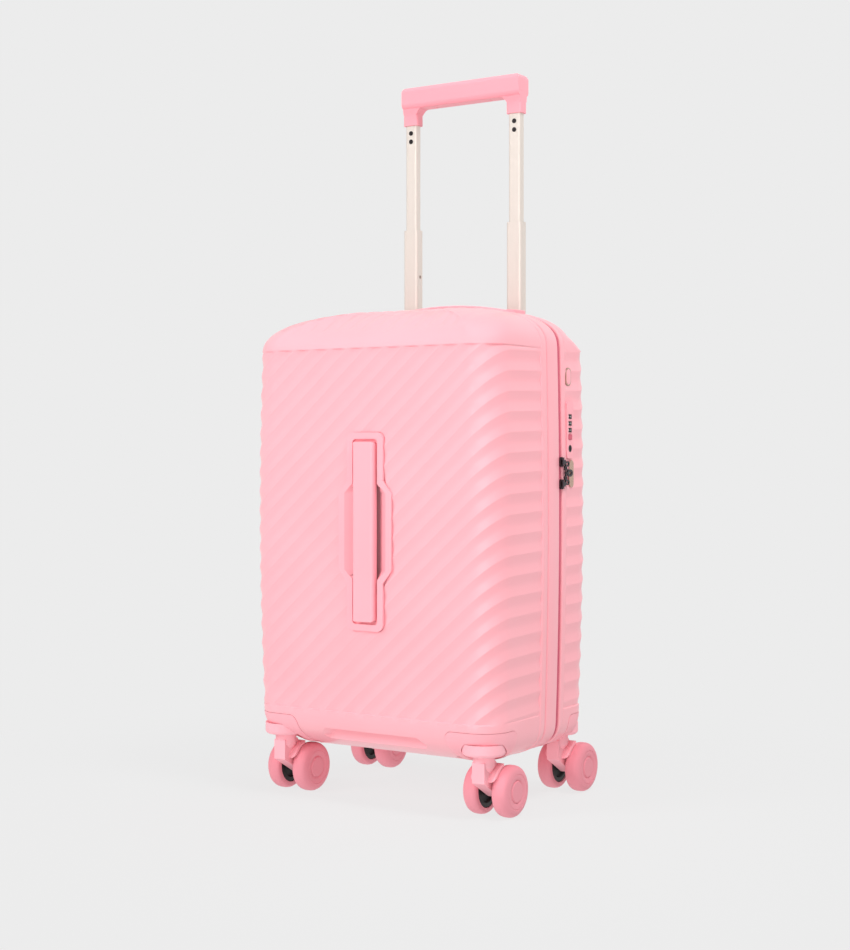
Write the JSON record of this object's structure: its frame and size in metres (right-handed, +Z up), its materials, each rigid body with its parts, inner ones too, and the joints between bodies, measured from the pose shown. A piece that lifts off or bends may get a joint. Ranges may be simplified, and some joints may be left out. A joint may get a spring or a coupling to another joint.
{
  "type": "hard shell suitcase",
  "caption": "Cabin suitcase with diagonally ribbed hard shells, zipped lid, combination lock, pull handles, telescoping trolley handle and twin swivel casters.",
  "frame": {"origin": "on the floor, midway between the four casters' swivel axes", "axes": "+X to the right side, where the lock is; +Y from the front face to the back, where the trolley is; +Z up"},
  "size_m": [0.3354, 0.2568, 0.8376],
  "materials": {
    "shell": "satin gloss",
    "zipper_cloth": "woven",
    "lining_cloth": "woven",
    "webbing": "woven",
    "tube_metal": "satin anodised",
    "champagne_metal": "polished",
    "gunmetal": "satin",
    "dark_steel": "satin",
    "wheel_pink": "smooth",
    "wheel_hub": "satin",
    "caster_plastic": "satin gloss",
    "handle_plastic": "satin gloss",
    "dial_white": "gloss",
    "lock_plastic": "satin gloss",
    "button_pink": "satin",
    "barrel_black": "satin"
  },
  "bodies": {
    "rear_case": {"rear_shell": "shell", "rear_rim": "shell", "rear_zipper_tape": "zipper_cloth", "rear_lining": "lining_cloth", "packing_straps": "webbing", "rear_caster_housings": "shell", "hinge_gusset": "zipper_cloth", "lock_body": "lock_plastic", "trim_plates": "champagne_metal", "top_handle_bezel": "handle_plastic", "trolley_tray": "handle_plastic", "outer_tubes": "tube_metal"},
    "front_case": {"front_shell": "shell", "front_rim": "shell", "front_zipper_tape": "zipper_cloth", "front_lining": "lining_cloth", "front_pocket": "lining_cloth", "front_caster_housings": "shell", "front_handle_bezel": "handle_plastic"},
    "front_handle": {"front_handle_bar": "handle_plastic"},
    "top_handle": {"top_handle_bar": "handle_plastic"},
    "lock_button": {"lock_button": "button_pink"},
    "lock_barrel": {"lock_barrel": "barrel_black"},
    "dial_1": {"dial_1": "dial_white"},
    "dial_2": {"dial_2": "dial_white"},
    "dial_3": {"dial_3": "dial_white"},
    "slider_upper": {"slider_upper": "gunmetal"},
    "slider_lower": {"slider_lower": "gunmetal"},
    "pull_upper": {"pull_upper": "gunmetal"},
    "pull_lower": {"pull_lower": "gunmetal"},
    "middle_stage": {"middle_tubes": "tube_metal"},
    "upper_stage": {"upper_tubes": "tube_metal", "grip": "handle_plastic", "grip_screws": "dark_steel"},
    "release": {"grip_button": "handle_plastic", "release_rods": "tube_metal"},
    "front_left_caster": {"front_left_fork": "caster_plastic", "front_left_axle": "dark_steel"},
    "front_left_wheel_a": {"front_left_tyre_a": "wheel_pink", "front_left_core_a": "wheel_hub"},
    "front_left_wheel_b": {"front_left_tyre_b": "wheel_pink", "front_left_core_b": "wheel_hub"},
    "front_right_caster": {"front_right_fork": "caster_plastic", "front_right_axle": "dark_steel"},
    "front_right_wheel_a": {"front_right_tyre_a": "wheel_pink", "front_right_core_a": "wheel_hub"},
    "front_right_wheel_b": {"front_right_tyre_b": "wheel_pink", "front_right_core_b": "wheel_hub"},
    "rear_left_caster": {"rear_left_fork": "caster_plastic", "rear_left_axle": "dark_steel"},
    "rear_left_wheel_a": {"rear_left_tyre_a": "wheel_pink", "rear_left_core_a": "wheel_hub"},
    "rear_left_wheel_b": {"rear_left_tyre_b": "wheel_pink", "rear_left_core_b": "wheel_hub"},
    "rear_right_caster": {"rear_right_fork": "caster_plastic", "rear_right_axle": "dark_steel"},
    "rear_right_wheel_a": {"rear_right_tyre_a": "wheel_pink", "rear_right_core_a": "wheel_hub"},
    "rear_right_wheel_b": {"rear_right_tyre_b": "wheel_pink", "rear_right_core_b": "wheel_hub"}
  },
  "joints": [
    {"name": "lid_hinge", "type": "hinge", "parent": "rear_case", "child": "front_case", "pos_m": [-0.1664, 0.032, 0.303], "axis": [0, 0, -1], "range_deg": [0, 180]},
    {"name": "trolley_middle", "type": "slide", "parent": "rear_case", "child": "middle_stage", "axis": [0, 0, 1], "range_m": [-0.1526, 0.11]},
    {"name": "trolley_upper", "type": "slide", "parent": "middle_stage", "child": "upper_stage", "axis": [0, 0, 1], "range_m": [-0.127, 0.095]},
    {"name": "grip_release", "type": "slide", "parent": "upper_stage", "child": "release", "axis": [0, 0, -1], "range_m": [0, 0.005], "stiffness_N_per_m": 400, "springref_m": -0.006},
    {"name": "front_handle_pull", "type": "slide", "parent": "front_case", "child": "front_handle", "axis": [0, -1, 0], "range_m": [0, 0.008], "stiffness_N_per_m": 300, "springref_m": -0.004},
    {"name": "top_handle_pull", "type": "slide", "parent": "rear_case", "child": "top_handle", "axis": [0, 0, 1], "range_m": [0, 0.008], "stiffness_N_per_m": 300, "springref_m": -0.003},
    {"name": "lock_button_push", "type": "slide", "parent": "rear_case", "child": "lock_button", "axis": [-1, 0, 0], "range_m": [0, 0.0015], "stiffness_N_per_m": 500, "springref_m": -0.001},
    {"name": "lock_barrel_turn", "type": "hinge", "parent": "rear_case", "child": "lock_barrel", "pos_m": [0.165, 0.0523, 0.397], "axis": [1, 0, 0], "range_deg": [0, 90]},
    {"name": "dial_1_turn", "type": "hinge", "parent": "rear_case", "child": "dial_1", "pos_m": [0.1599, 0.0523, 0.433], "axis": [0, 0, 1], "continuous": true},
    {"name": "dial_2_turn", "type": "hinge", "parent": "rear_case", "child": "dial_2", "pos_m": [0.1599, 0.0523, 0.4254], "axis": [0, 0, 1], "continuous": true},
    {"name": "dial_3_turn", "type": "hinge", "parent": "rear_case", "child": "dial_3", "pos_m": [0.1599, 0.0523, 0.4178], "axis": [0, 0, 1], "continuous": true},
    {"name": "slider_upper_run", "type": "slide", "parent": "rear_case", "child": "slider_upper", "axis": [0, 0, 1], "range_m": [0, 0.1]},
    {"name": "slider_lower_run", "type": "slide", "parent": "rear_case", "child": "slider_lower", "axis": [0, 0, 1], "range_m": [-0.2, 0]},
    {"name": "pull_upper_swing", "type": "hinge", "parent": "slider_upper", "child": "pull_upper", "pos_m": [0.1679, 0.0314, 0.382], "axis": [0, 0, -1], "range_deg": [0, 170]},
    {"name": "pull_lower_swing", "type": "hinge", "parent": "slider_lower", "child": "pull_lower", "pos_m": [0.1679, 0.0314, 0.357], "axis": [0, 0, -1], "range_deg": [0, 170]},
    {"name": "front_left_swivel", "type": "hinge", "parent": "front_case", "child": "front_left_caster", "pos_m": [-0.133, -0.0832, 0.08], "axis": [0, 0, 1], "continuous": true},
    {"name": "front_left_spin_a", "type": "hinge", "parent": "front_left_caster", "child": "front_left_wheel_a", "pos_m": [-0.133, -0.0582, 0.028], "axis": [1, 0, 0], "continuous": true},
    {"name": "front_left_spin_b", "type": "hinge", "parent": "front_left_caster", "child": "front_left_wheel_b", "pos_m": [-0.133, -0.0582, 0.028], "axis": [1, 0, 0], "continuous": true},
    {"name": "front_right_swivel", "type": "hinge", "parent": "front_case", "child": "front_right_caster", "pos_m": [0.133, -0.0832, 0.08], "axis": [0, 0, 1], "continuous": true},
    {"name": "front_right_spin_a", "type": "hinge", "parent": "front_right_caster", "child": "front_right_wheel_a", "pos_m": [0.133, -0.0582, 0.028], "axis": [1, 0, 0], "continuous": true},
    {"name": "front_right_spin_b", "type": "hinge", "parent": "front_right_caster", "child": "front_right_wheel_b", "pos_m": [0.133, -0.0582, 0.028], "axis": [1, 0, 0], "continuous": true},
    {"name": "rear_left_swivel", "type": "hinge", "parent": "rear_case", "child": "rear_left_caster", "pos_m": [-0.133, 0.0832, 0.08], "axis": [0, 0, 1], "continuous": true},
    {"name": "rear_left_spin_a", "type": "hinge", "parent": "rear_left_caster", "child": "rear_left_wheel_a", "pos_m": [-0.133, 0.1082, 0.028], "axis": [1, 0, 0], "continuous": true},
    {"name": "rear_left_spin_b", "type": "hinge", "parent": "rear_left_caster", "child": "rear_left_wheel_b", "pos_m": [-0.133, 0.1082, 0.028], "axis": [1, 0, 0], "continuous": true},
    {"name": "rear_right_swivel", "type": "hinge", "parent": "rear_case", "child": "rear_right_caster", "pos_m": [0.133, 0.0832, 0.08], "axis": [0, 0, 1], "continuous": true},
    {"name": "rear_right_spin_a", "type": "hinge", "parent": "rear_right_caster", "child": "rear_right_wheel_a", "pos_m": [0.133, 0.1082, 0.028], "axis": [1, 0, 0], "continuous": true},
    {"name": "rear_right_spin_b", "type": "hinge", "parent": "rear_right_caster", "child": "rear_right_wheel_b", "pos_m": [0.133, 0.1082, 0.028], "axis": [1, 0, 0], "continuous": true}
  ]
}
